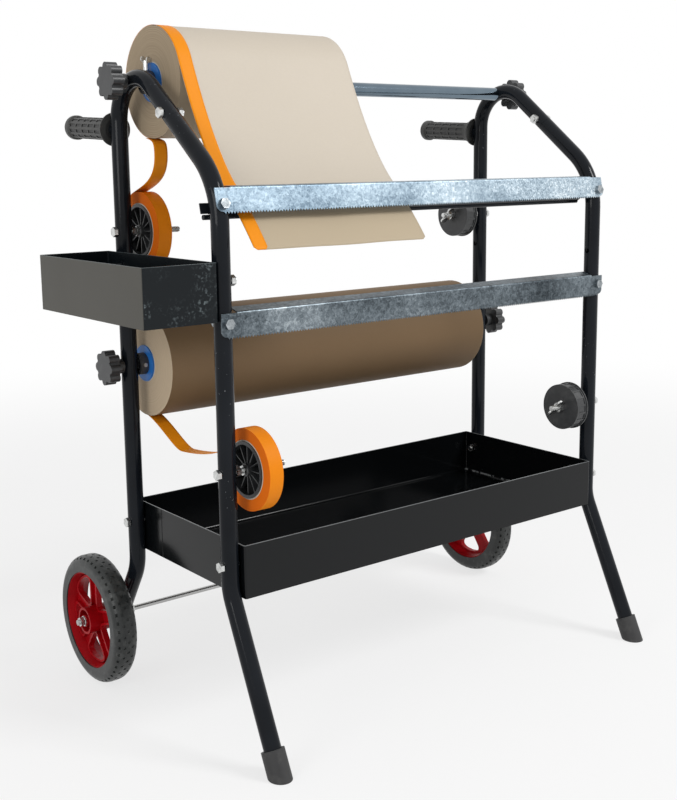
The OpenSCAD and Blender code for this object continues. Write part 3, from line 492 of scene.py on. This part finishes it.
# %% Plated and turned metal
def zinc(name, dark, light):
    f = Finish(name)
    cloud = f.noise(160, 3)
    f.set(Base_Color=f.mottled(cloud, dark, light), Metallic=1.0, Roughness=0.18 + cloud * 0.22)
    f.bump(f.noise(900, 2), 0.00003)
    return f


def turned_steel(name, dark, light, rough):
    f = Finish(name)
    rings = f.noise(1, 2, f.stretched((900, 20, 20)))
    cloud = f.noise(22, 3)
    f.set(Base_Color=f.mix(cloud, dark, light), Metallic=1.0, Roughness=rough + rings * 0.12)
    f.bump(rings, 0.00002)
    return f


finish_of["zinc"] = zinc("bright_zinc", (0.46, 0.465, 0.46), (0.76, 0.77, 0.76))
# The shaft's dark blue-grey colour is a painted reflection of dark surroundings in the polished
# steel.
finish_of["chrome"] = turned_steel("polished_shaft", (0.11, 0.15, 0.19), (0.20, 0.255, 0.30), 0.05)
finish_of["axle_steel"] = turned_steel("drawn_steel", (0.35, 0.35, 0.35), (0.55, 0.55, 0.54), 0.28)
own_finish["cutter_bar_bolts"] = zinc("dull_zinc", (0.20, 0.225, 0.24), (0.46, 0.49, 0.51))
for metal in ("zinc", "chrome", "axle_steel"):
    print(finish_of[metal])

# %% [markdown]
# ## Rubber and plastic
# Tyres and ferrules are matt rubber that has picked up dust. Knobs and hubs are moulded plastic
# with a fine grain, the rims are glossy red and the plugs in the paper cores are blue. They differ
# only in colour, gloss, grain and dust, so one function with those inputs makes them all.

# %% Moulded finishes
def moulded(name, dark, light, rough, grain, depth, dust=0.0, dust_colour=None, gloss=0.5):
    """Grain is how fine the mould's texture is, and depth how deep it is in metres."""
    f = Finish(name)
    cloud = f.noise(26, 4)
    colour = f.mottled(cloud, dark, light)
    if dust:
        colour = f.mix(f.noise(75, 6).over(0.5, 0.72) * dust, colour, dust_colour)
    f.set(Base_Color=colour, Roughness=rough + cloud * 0.12, Specular_IOR_Level=gloss)
    f.bump(f.noise(grain, 3), depth)
    return f


finish_of["black_rubber"] = moulded(
    "black_rubber_matt", (0.016, 0.016, 0.017), (0.03, 0.03, 0.03), rough=0.55, grain=500,
    depth=0.0001, dust=0.25, dust_colour=(0.09, 0.088, 0.083))
finish_of["tyre_rubber"] = moulded(
    "tyre_rubber_dusty", (0.024, 0.026, 0.026), (0.044, 0.047, 0.046), rough=0.30, grain=600,
    depth=0.0001, dust=0.35, dust_colour=(0.14, 0.145, 0.14), gloss=0.3)
finish_of["red_plastic"] = moulded(
    "red_plastic_gloss", (0.30, 0.001, 0.004), (0.43, 0.002, 0.007), rough=0.34, grain=400,
    depth=0.00004, gloss=0.14)
finish_of["blue_plastic"] = moulded(
    "blue_plastic_plug", (0.010, 0.125, 0.44), (0.02, 0.19, 0.60), rough=0.4, grain=500,
    depth=0.00005)
finish_of["black_plastic"] = moulded(
    "black_plastic_grained", (0.022, 0.023, 0.025), (0.042, 0.044, 0.046), rough=0.34, grain=1400,
    depth=0.00008, dust=0.18, dust_colour=(0.12, 0.12, 0.12))
print(len(finish_of), "finishes so far")

# %% [markdown]
# ## Handle grips
# The lands between a grip's sunk pads are paler than the pads. The two could be separate faces
# with separate materials, but the distance from the grip's own axis tells them apart already, since
# the pads lie deeper.

# %% Rubber of the handle grips
GRIP_FROM_MIDDLE, GRIP_Z, GRIP_TILT = 0.3676, 0.858, math.radians(3)
PAD_RADIUS, LAND_RADIUS = 0.0155, 0.0161


def grip_rubber():
    f = Finish("grip_rubber_handled")
    x, y, z = (f.axis(letter) for letter in "XYZ")
    dx = (x - MID_X).math("ABSOLUTE") - GRIP_FROM_MIDDLE
    dz = (z - GRIP_Z) * math.cos(GRIP_TILT) - (y - REAR_Y) * math.sin(GRIP_TILT)
    from_axis = (dx * dx + dz * dz).math("SQRT")
    cloud = f.noise(26, 4)
    pad, land = (0.018, 0.018, 0.018), f.mottled(cloud, (0.034, 0.034, 0.033), (0.060, 0.060, 0.057))
    f.set(Base_Color=f.mix(from_axis.over(PAD_RADIUS, LAND_RADIUS), pad, land),
          Roughness=0.42 + cloud * 0.14)
    f.bump(f.noise(500, 3), 0.0001)
    return f


own_finish["left_grip"] = own_finish["right_grip"] = grip_rubber()
print(own_finish["left_grip"])

# %% [markdown]
# ## Wound paper, card and tape
# A roll's outer face is one smooth sheet, but its ends show the edges of hundreds of turns as fine
# rings. Rings could be cut into the mesh, at the price of very many faces. Here the distance from
# the roll's own axis draws them, and the place along that axis tells an end from the outside.
# Masking tape is creped, with small wrinkles across its width.

# %% Rings on the ends of a roll
END_FADES = (0.0001, 0.0004)     # metres from the end of a roll


def end_rings(f, span_x, axis_yz, pitch):
    """Fine rings about an axis along X, and a mask of the two ends that show them."""
    local = f.stretched((0, 1, 1), (0, *axis_yz))
    radius = f.vector("LENGTH", {0: local}, "Value")
    lines = f.noise(1, 3, f.node("ShaderNodeCombineXYZ", {}, {"X": radius * (1 / pitch)}))
    x = f.axis("X")
    from_end = (x - span_x[0]).math("MINIMUM", span_x[1] - x)
    return lines, 1 - from_end.over(*END_FADES)


def wound(name, span_x, axis_yz, face_dark, face_light, end_dark, end_light, rough, pitch, crepe=0.0,
          gloss=0.5):
    """A roll with its two ends at span_x. Its face is its outside, and pitch the width of a ring."""
    f = Finish(name)
    lines, is_end = end_rings(f, span_x, axis_yz, pitch)
    cloud = f.noise(8, 5)
    fibre = f.noise(1, 4, f.stretched((150, 600, 600)))
    face = f.mix(cloud * 0.7 + fibre * 0.3, face_dark, face_light)
    end = f.mix(lines.over(0.3, 0.7) * 0.75 + cloud * 0.25, end_dark, end_light)
    f.set(Base_Color=f.mix(is_end, face, end), Roughness=rough + is_end * 0.15,
          Specular_IOR_Level=gloss)
    f.bump(lines * is_end + fibre * (1 - is_end) * (0.25 + crepe), 0.00012)
    return f


print("rings stop", END_FADES[1] * 1000, "mm from an end")

# %% A finish for each roll, core and reel
TAPE = dict(face_dark=(0.82, 0.225, 0.003), face_light=(0.93, 0.285, 0.006),
            end_dark=(0.66, 0.115, 0.002), end_light=(0.88, 0.19, 0.004), rough=0.55, pitch=0.0004,
            crepe=0.6, gloss=0.15)
# The upper roll is the same paper as the sheet: its darker face is painted shade, and its darker
# ends are end grain with painted shade.
UPPER_PAPER_WITH_PAINTED_SHADE = dict(face_dark=(0.44, 0.36, 0.26), face_light=(0.50, 0.42, 0.31),
                   end_dark=(0.28, 0.21, 0.135), end_light=(0.54, 0.43, 0.30), rough=0.6,
                   pitch=0.0013, gloss=0.25)
# The lower roll is the same paper as the sheet; its dark brown face is painted shade.
LOWER_PAPER_WITH_PAINTED_SHADE = dict(face_dark=(0.180, 0.112, 0.056), face_light=(0.220, 0.142, 0.074),
                   end_dark=(0.42, 0.32, 0.21), end_light=(0.66, 0.53, 0.38), rough=0.6,
                   pitch=0.0009, gloss=0.25)
CARD = dict(face_dark=(0.52, 0.47, 0.38), face_light=(0.62, 0.57, 0.48), end_dark=(0.5, 0.46, 0.38),
            end_light=(0.68, 0.64, 0.56), rough=0.75, pitch=0.0006)

for look, pieces in (
        (UPPER_PAPER_WITH_PAINTED_SHADE, ["upper_paper_roll"]), (LOWER_PAPER_WITH_PAINTED_SHADE, ["lower_paper_roll"]),
        (CARD, ["upper_roll_core", "lower_roll_core", "upper_tape_core", "lower_tape_core"]),
        (TAPE, ["upper_tape_roll", "lower_tape_roll"])):
    for name in pieces:
        low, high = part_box(name)
        axis_yz = ((low[1] + high[1]) / 2, (low[2] + high[2]) / 2)
        own_finish[name] = wound(name + "_finish", (low[0], high[0]), axis_yz, **look)
        print(own_finish[name])

# %% [markdown]
# ## Finishes on the CAD pieces
# Every CAD piece keeps its shape and takes the finish of what it is made of. The record names a
# material slot for each piece, which saves a list by hand. Pieces with a finish of their own come
# first: the bars, their bolts, the grips, and whatever is wound, because its rings lie about its
# own axis.

# %% Dress the CAD pieces
slot_of = {row["node"]: row["material_slot"] for row in frame["record"]["subparts"]}
dressed = 0
for name, obj in nodes.items():
    finish = own_finish.get(name) or finish_of.get(slot_of[name])
    if finish:
        obj.data.materials.clear()
        obj.data.materials.append(finish.material)
        dressed += 1
print(dressed, "of", len(nodes), "CAD pieces dressed; thin paper and tape replace the others")

# %% [markdown]
# ## The paper web
# The sheet runs over the upper roll, swings down behind the upper cutter bar and ends in a free
# edge below its teeth. It is far thinner than the solid that stands for it in the CAD model. Cloth
# could be simulated, but the photograph shows where it hangs: the side view of its path is an arc
# and two smooth curves, so the sheet is a grid, along that path and across the width.

# %% Lines in the side view
def on_circle(centre, radius, degrees):
    t = math.radians(degrees)
    return Vector(centre) + radius * Vector((math.cos(t), math.sin(t)))


def along(degrees):
    """Direction of travel on a circle, anticlockwise."""
    t = math.radians(degrees)
    return Vector((-math.sin(t), math.cos(t)))


def through(knots, steps):
    """Points on smooth curves from knot to knot, in so many steps each. A knot is a place, a
    direction, and how far the curve keeps to that direction before and after it."""
    points = [knots[0][0]]
    for (a, leaves, _, after), (d, arrives, before, _), count in zip(knots, knots[1:], steps):
        b, c = a + after * leaves, d - before * arrives
        for t in (i / count for i in range(1, count + 1)):
            points.append((1 - t) ** 3 * a + 3 * t * (1 - t) ** 2 * b + 3 * t * t * (1 - t) * c
                          + t ** 3 * d)
    return points


def length_of(points):
    return sum((b - a).length for a, b in zip(points, points[1:]))


print("a quarter of a circle:", round(length_of([on_circle((0, 0), 1, t) for t in range(91)]), 3))

# %% Path of the paper
UPPER_SHAFT, UPPER_ROLL_R = (-0.045772, 0.923228), 0.0786
CAD_SHEET_T, GAP = 0.0005, 0.0003     # the CAD sheet's thickness, and its distance from the roll
WEB_STARTS, ARC_ENDS, WEB_LEAVES = -78, 152.4, 156.4     # angles on the roll
ARC_STEPS = 90

web_r = UPPER_ROLL_R + GAP + CAD_SHEET_T / 2
web_path = [on_circle(UPPER_SHAFT, web_r, WEB_STARTS + (ARC_ENDS - WEB_STARTS) * i / ARC_STEPS)
            for i in range(ARC_STEPS + 1)]
web_path += through(((on_circle(UPPER_SHAFT, web_r, WEB_LEAVES), along(WEB_LEAVES), 0, 0.0399),
                     (Vector((-0.228, 0.774)), Vector((-0.755, -0.656)), 0.0695, 0.0247),
                     (Vector((-0.298, 0.696)), Vector((-0.6, -0.8)), 0.0335, 0)), (32, 24))
print("path of", len(web_path), "points")

# %% A sheet from its side view
PAPER_T = 0.0002
RIPPLE_GROWS = 0.12     # metres of path over which a ripple reaches its height
WAVES = ((1.0, 21, 9), (0.6, 47, -14))     # height, and radians per metre across and along


def left_of(points):
    """A vector of length 1 to the left of the path at each of its points."""
    ways = ((points[min(i + 1, len(points) - 1)] - points[max(i - 1, 0)]).normalized()
            for i in range(len(points)))
    return [Vector((-way.y, way.x)) for way in ways]


def thin_sheet(name, points, x0, x1, finish, across, corner=0.0, ripple=0.0, free_from=0):
    """Sheet along the side view's points, from x0 to x1, with the corners of its far end rounded.
    The ripple starts at the point with the number free_from."""
    run = [0.0, *accumulate((b - a).length for a, b in zip(points, points[1:]))]
    verts, uvs = [], []
    for p, leftwards, at in zip(points, left_of(points), run):
        to_end = run[-1] - at
        rounding = 0
        if to_end < corner:
            rounding = corner - math.sqrt(max(corner ** 2 - (corner - to_end) ** 2, 0))
        free = min(1.0, max(0.0, (at - run[free_from]) / RIPPLE_GROWS)) if ripple else 0.0
        for j in range(across + 1):
            x = x0 + rounding + (x1 - x0 - 2 * rounding) * j / across
            wave = sum(height * math.sin(a * x + b * at) for height, a, b in WAVES)
            q = p + leftwards * (ripple * free * wave)
            verts.append((x + MID_X, q.x + REAR_Y, q.y))
            uvs.append((x, at))
    row = across + 1
    faces = [(k, k + 1, k + row + 1, k + row)
             for k in (i * row + j for i in range(len(points) - 1) for j in range(across))]
    mesh = bpy.data.meshes.new(name)
    mesh.from_pydata(verts, [], faces)
    layer = mesh.uv_layers.new(name="along_sheet")
    for loop in mesh.loops:
        layer.data[loop.index].uv = uvs[loop.vertex_index]
    mesh.shade_smooth()
    mesh.materials.append(finish.material)
    sheet = bpy.data.objects.new(name, mesh)
    scene.collection.objects.link(sheet)
    thick = sheet.modifiers.new("paper_thickness", "SOLIDIFY")
    thick.thickness, thick.offset = PAPER_T, 0.0
    print(name, round(run[-1], 3), "m long,", len(faces), "faces")
    return sheet


print("sheets are", PAPER_T * 1000, "mm thick")

# %% Finish of a thin sheet
# Below these heights the sheet gets a painted shade of the upper cutter bar.
PAINTED_SHADE_BELOW, PAINTED_SHADE_FADES = 0.735, 0.76     # heights near the upper cutter bar


def thin_paper(name, dark, light, rough, depth, painted_bar_shade=None, gloss=0.5):
    """Paper or tape; an optional darker colour is painted on the sheet below the upper bar as the
    bar's painted shade.
    """
    f = Finish(name)
    cloud = f.noise(5, 4)
    fibre = f.noise(1, 4, f.stretched((220, 420, 420)))
    colour = f.mix(cloud * 0.6 + fibre * 0.4, dark, light)
    if painted_bar_shade:
        # Painted shade of the upper bar on the sheet below it.
        colour = f.mix((1 - f.axis("Z").over(PAINTED_SHADE_BELOW, PAINTED_SHADE_FADES)) * 0.8, colour, painted_bar_shade)
    f.set(Base_Color=colour, Roughness=rough, Specular_IOR_Level=gloss)
    f.bump(fibre, depth)
    return f


kraft = thin_paper("kraft_sheet", (0.59, 0.52, 0.425), (0.67, 0.60, 0.505), rough=0.6,
                   depth=0.00006, painted_bar_shade=(0.45, 0.355, 0.225), gloss=0.35)
print(kraft)

# %% The paper sheet
WEB_X = (-0.3362, -0.0362)
RIPPLE, FREE_FROM = 0.0007, ARC_STEPS + 5     # the sheet ripples once it has left the roll
web = thin_sheet("paper_sheet", web_path, *WEB_X, kraft, across=60, corner=0.006, ripple=RIPPLE,
                 free_from=FREE_FROM)
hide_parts("paper_web")
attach(web, "root")
length_of(web_path)

# %% [markdown]
# ## Orange tape
# The tape comes off its reel, sags in a loose bow because reel and roll turn at slightly different
# speeds, and sticks to the paper's left edge. Along the paper it takes the paper's own path, moved
# outwards by a hair and with the same ripple, so that the two can't cut through each other. The
# loose bows are curves through three knots.

# %% Paths of the tape
LOWER_SHAFT, LOWER_ROLL_R, TAPE_R = (0, 0.5104), 0.0808, 0.0575
UPPER_REEL, LOWER_REEL = (0, 0.7104), (-0.2658, 0.3963)
OFF_UPPER_REEL, OFF_LOWER_ROLL, ONTO_LOWER_REEL = 66, -80, 25     # angles on reel, roll and reel
HAIR = 0.0001

reel_r, low_roll_r = (radius + GAP + CAD_SHEET_T / 2 for radius in (TAPE_R, LOWER_ROLL_R))
on_web = [p - (CAD_SHEET_T + HAIR) * leftwards for p, leftwards in zip(web_path, left_of(web_path))]
upper_bow = through((
    (on_circle(UPPER_REEL, reel_r, OFF_UPPER_REEL), along(OFF_UPPER_REEL), 0, 0.031),
    (Vector(UPPER_SHAFT) + Vector((-0.007, -0.101)), Vector((0, 1)), 0.042, 0.020),
    (on_web[0], along(WEB_STARTS), 0.017, 0)), (28, 16))
lower_bow = through((
    (on_circle(LOWER_SHAFT, low_roll_r, OFF_LOWER_ROLL), -along(OFF_LOWER_ROLL), 0, 0.0437),
    (Vector((-0.0935, 0.3895)), Vector((-1, 0.06)), 0.0223, 0.0421),
    (on_circle(LOWER_REEL, reel_r, ONTO_LOWER_REEL), along(ONTO_LOWER_REEL), 0.0209, 0)), (24, 24))
print("paths of", len(on_web), len(upper_bow), "and", len(lower_bow), "points")

# %% Tape strips
TAPE_W = 0.022
tape = thin_paper("orange_tape_sheet", (0.87, 0.265, 0.004), (0.95, 0.325, 0.008), rough=0.5,
                  depth=0.00012, gloss=0.15)
strips = {     # path, left edge, CAD node, what it rests on, rounding of its end, ripple
    "edge_tape": (on_web, WEB_X[0], "upper_tape_strip", "paper_sheet", 0.004, RIPPLE),
    "upper_loose_tape": (upper_bow, -0.3410, "upper_tape_strip", "upper_tape_roll", 0.0, 0.0),
    "lower_loose_tape": (lower_bow, -0.3370, "lower_tape_strip", "lower_tape_roll", 0.0, 0.0),
}
for name, (points, x0, node, rests, corner, ripple) in strips.items():
    strip = thin_sheet(name, points, x0, x0 + TAPE_W, tape, across=6, corner=corner, ripple=ripple,
                       free_from=FREE_FROM)
    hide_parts(node)
    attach(strip, "root")
    length_of(points)

# %% [markdown]
# ## Threads on the studs
# The studs are plain rods in the CAD model. A thread is one turn of a helix repeated along the rod.
# Each turn could be a mesh of its own, but Geometry Nodes puts a turn on every point it is given,
# so the rods only need a row of points, one pitch apart.

# %% A point for every turn
THREAD_PITCH = 0.00125
AXLE = (0.0604, 0.1015)
OUTSIDE, INSIDE = (0.3261, 0.3485), (0.2748, 0.2896)     # of the empty hubs
studs = [     # where a stud lies in the side view, and from where to where it is threaded
    (UPPER_REEL, *OUTSIDE), (UPPER_REEL, *INSIDE), (LOWER_REEL, *OUTSIDE), (LOWER_REEL, *INSIDE),
    (UPPER_REEL, -0.3106, -0.2748), (LOWER_REEL, -0.3066, -0.2748), (LOWER_REEL, -0.3485, -0.3431),
    (AXLE, -0.4459, -0.4421), (AXLE, 0.4421, 0.4459)]
turn_points = [(x0 + i * THREAD_PITCH + MID_X, y + REAR_Y, z)
               for (y, z), x0, x1 in studs for i in range(int((x1 - x0) / THREAD_PITCH))]
print(len(turn_points), "turns on", len(studs), "lengths of thread")

# %% A tree that puts a turn on every point
tree = bpy.data.node_groups.new("thread_turns", "GeometryNodeTree")
for label, way, kind in (("Geometry", "INPUT", "Geometry"), ("Pitch", "INPUT", "Float"),
                         ("Radius", "INPUT", "Float"), ("Ridge", "INPUT", "Float"),
                         ("Geometry", "OUTPUT", "Geometry")):
    tree.interface.new_socket(label, in_out=way, socket_type="NodeSocket" + kind)
start, spiral, profile, sweep, place, real, paint, end = (tree.nodes.new(kind) for kind in (
    "NodeGroupInput", "GeometryNodeCurveSpiral", "GeometryNodeCurvePrimitiveCircle",
    "GeometryNodeCurveToMesh", "GeometryNodeInstanceOnPoints", "GeometryNodeRealizeInstances",
    "GeometryNodeSetMaterial", "NodeGroupOutput"))
spiral.inputs["Resolution"].default_value = 28
spiral.inputs["Rotations"].default_value = 1.0
profile.inputs["Resolution"].default_value = 3
place.inputs["Rotation"].default_value = (0, math.pi / 2, 0)
paint.inputs["Material"].default_value = finish_of["zinc"].material
for source, target in (
        (start.outputs["Pitch"], spiral.inputs["Height"]),
        (start.outputs["Radius"], spiral.inputs["Start Radius"]),
        (start.outputs["Radius"], spiral.inputs["End Radius"]),
        (start.outputs["Ridge"], profile.inputs["Radius"]),
        (spiral.outputs["Curve"], sweep.inputs["Curve"]),
        (profile.outputs["Curve"], sweep.inputs["Profile Curve"]),
        (start.outputs["Geometry"], place.inputs["Points"]),
        (sweep.outputs["Mesh"], place.inputs["Instance"]),
        (place.outputs["Instances"], real.inputs["Geometry"]),
        (real.outputs["Geometry"], paint.inputs["Geometry"]),
        (paint.outputs["Geometry"], end.inputs["Geometry"])):
    tree.links.new(source, target)
print("tree of", len(tree.nodes), "nodes")

# %% The threads as a plain mesh
THREAD_SIZES = {"Pitch": THREAD_PITCH, "Radius": 0.0041, "Ridge": 0.00042}

point_mesh = bpy.data.meshes.new("stud_threads")
point_mesh.from_pydata(turn_points, [], [])
stud_threads = bpy.data.objects.new("stud_threads", point_mesh)
scene.collection.objects.link(stud_threads)
modifier = stud_threads.modifiers.new("turns", "NODES")
modifier.node_group = tree
for item in tree.interface.items_tree:
    if item.in_out == "INPUT" and item.name in THREAD_SIZES:
        modifier[item.identifier] = THREAD_SIZES[item.name]
evaluated = stud_threads.evaluated_get(bpy.context.evaluated_depsgraph_get())
turns = bpy.data.meshes.new_from_object(evaluated)
stud_threads.modifiers.remove(modifier)
stud_threads.data = turns
bpy.data.meshes.remove(point_mesh)
turns.materials.clear()     # the tree leaves an empty slot before the thread's own
turns.materials.append(finish_of["zinc"].material)
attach(stud_threads, "root")
print("stud_threads", len(turns.polygons), "faces in", [m.name for m in turns.materials])
